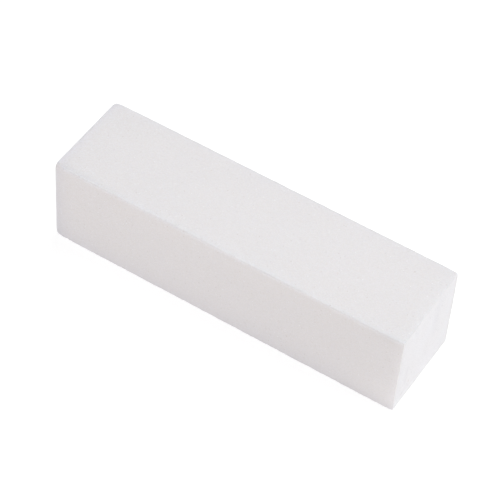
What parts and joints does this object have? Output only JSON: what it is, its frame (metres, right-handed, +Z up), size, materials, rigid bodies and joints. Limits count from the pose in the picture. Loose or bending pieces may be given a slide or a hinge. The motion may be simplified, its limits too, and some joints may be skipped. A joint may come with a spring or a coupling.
{
  "type": "nail buffer block",
  "caption": "White foam bar with a fine abrasive sheet glued to each long side and bare foam ends, held in the hand to smooth nails.",
  "frame": {"origin": "under the middle of the bar, on the surface it lies on", "axes": "+X along the bar towards the crisp cut end, +Y from the front side to the rear side, +Z up"},
  "size_m": [0.0952, 0.0254, 0.0254],
  "materials": {
    "foam": "fine closed-cell foam, cut, matte",
    "glue": "thin cured contact adhesive",
    "backing": "white paper, uncoated cut edge",
    "grit": "white abrasive grains in resin, matte with fine sparkle"
  },
  "bodies": {
    "root": {"foam_core": "foam", "glue_top": "glue", "glue_bottom": "glue", "glue_front": "glue", "glue_rear": "glue", "paper_top": "backing", "paper_bottom": "backing", "paper_front": "backing", "paper_rear": "backing", "grit_top": "grit", "grit_bottom": "grit", "grit_front": "grit", "grit_rear": "grit"}
  },
  "joints": []
}
